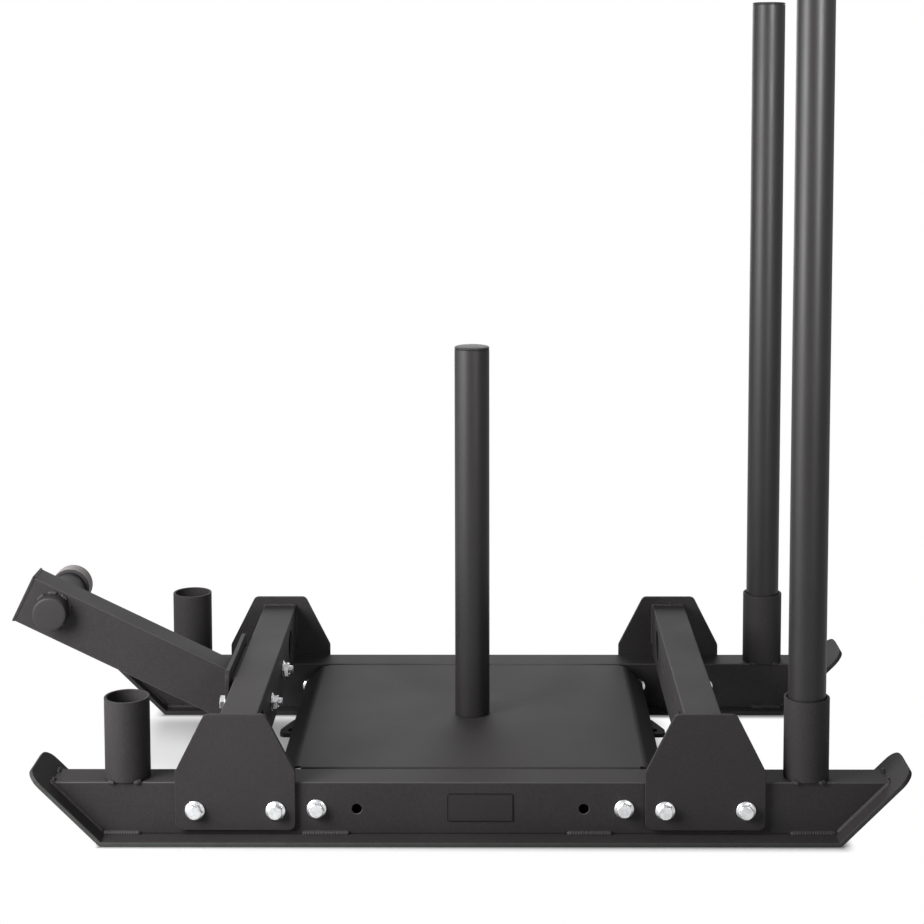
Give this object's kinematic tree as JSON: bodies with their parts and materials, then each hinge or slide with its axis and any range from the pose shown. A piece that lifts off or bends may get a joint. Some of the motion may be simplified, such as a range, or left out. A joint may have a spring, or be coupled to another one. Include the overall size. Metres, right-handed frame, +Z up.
{
  "type": "push sled",
  "caption": "Steel push sled on turned-up skids, with pole sockets, lift-out push poles, a weight tray and post, and a bolted tow arm.",
  "frame": {"origin": "centre of the footprint of the whole object, tow arm included, on the floor plane under the skids", "axes": "+Z up; +X along the rails towards the push poles, so the sled is pushed towards -X; +Y to the right of someone pushing it"},
  "size_m": [1.2404, 0.62, 1.11],
  "materials": {
    "powder_coat": "fine textured matte black powder coat on mild steel",
    "tube_coat": "smooth satin black powder coat on round steel tube",
    "zinc": "bright zinc plating",
    "black_plastic": "moulded black plastic",
    "grey_rubber": "dull warm grey rubber"
  },
  "bodies": {
    "sled": {"left_rail": "powder_coat", "right_rail": "powder_coat", "left_skid_plate": "powder_coat", "right_skid_plate": "powder_coat", "front_left_socket": "powder_coat", "front_right_socket": "powder_coat", "rear_left_socket": "powder_coat", "rear_right_socket": "powder_coat", "front_left_bracket": "powder_coat", "front_right_bracket": "powder_coat", "rear_left_bracket": "powder_coat", "rear_right_bracket": "powder_coat", "front_crossbar": "powder_coat", "rear_crossbar": "powder_coat", "weight_tray": "powder_coat", "front_tow_eye": "powder_coat", "rear_tow_eye": "powder_coat", "badge_plate": "powder_coat", "tow_arm_packer": "powder_coat", "tow_arm_flange": "powder_coat", "tow_arm_tube": "powder_coat", "tow_arm_end_plate": "powder_coat", "tow_arm_peg": "tube_coat", "weight_post": "tube_coat", "weight_post_cap": "black_plastic", "peg_left_cap": "black_plastic", "peg_right_cap": "grey_rubber", "front_left_bracket_1_bolt": "zinc", "front_left_bracket_2_bolt": "zinc", "front_left_tray_bolt": "zinc", "front_right_bracket_1_bolt": "zinc", "front_right_bracket_2_bolt": "zinc", "front_right_tray_bolt": "zinc", "rear_left_bracket_1_bolt": "zinc", "rear_left_bracket_2_bolt": "zinc", "rear_left_tray_bolt": "zinc", "rear_right_bracket_1_bolt": "zinc", "rear_right_bracket_2_bolt": "zinc", "rear_right_tray_bolt": "zinc", "left_arm_bolt": "zinc", "right_arm_bolt": "zinc", "front_left_bracket_1_nut": "zinc", "front_left_bracket_2_nut": "zinc", "front_left_tray_nut": "zinc", "front_right_bracket_1_nut": "zinc", "front_right_bracket_2_nut": "zinc", "front_right_tray_nut": "zinc", "rear_left_bracket_1_nut": "zinc", "rear_left_bracket_2_nut": "zinc", "rear_left_tray_nut": "zinc", "rear_right_bracket_1_nut": "zinc", "rear_right_bracket_2_nut": "zinc", "rear_right_tray_nut": "zinc", "left_arm_nut": "zinc", "right_arm_nut": "zinc"},
    "left_pole": {"left_push_pole": "tube_coat", "left_pole_cap": "black_plastic"},
    "right_pole": {"right_push_pole": "tube_coat", "right_pole_cap": "black_plastic"}
  },
  "joints": [
    {"name": "left_pole_lift", "type": "slide", "parent": "sled", "child": "left_pole", "axis": [0, 0, 1], "range_m": [0, 0.13]},
    {"name": "right_pole_lift", "type": "slide", "parent": "sled", "child": "right_pole", "axis": [0, 0, 1], "range_m": [0, 0.13]}
  ]
}
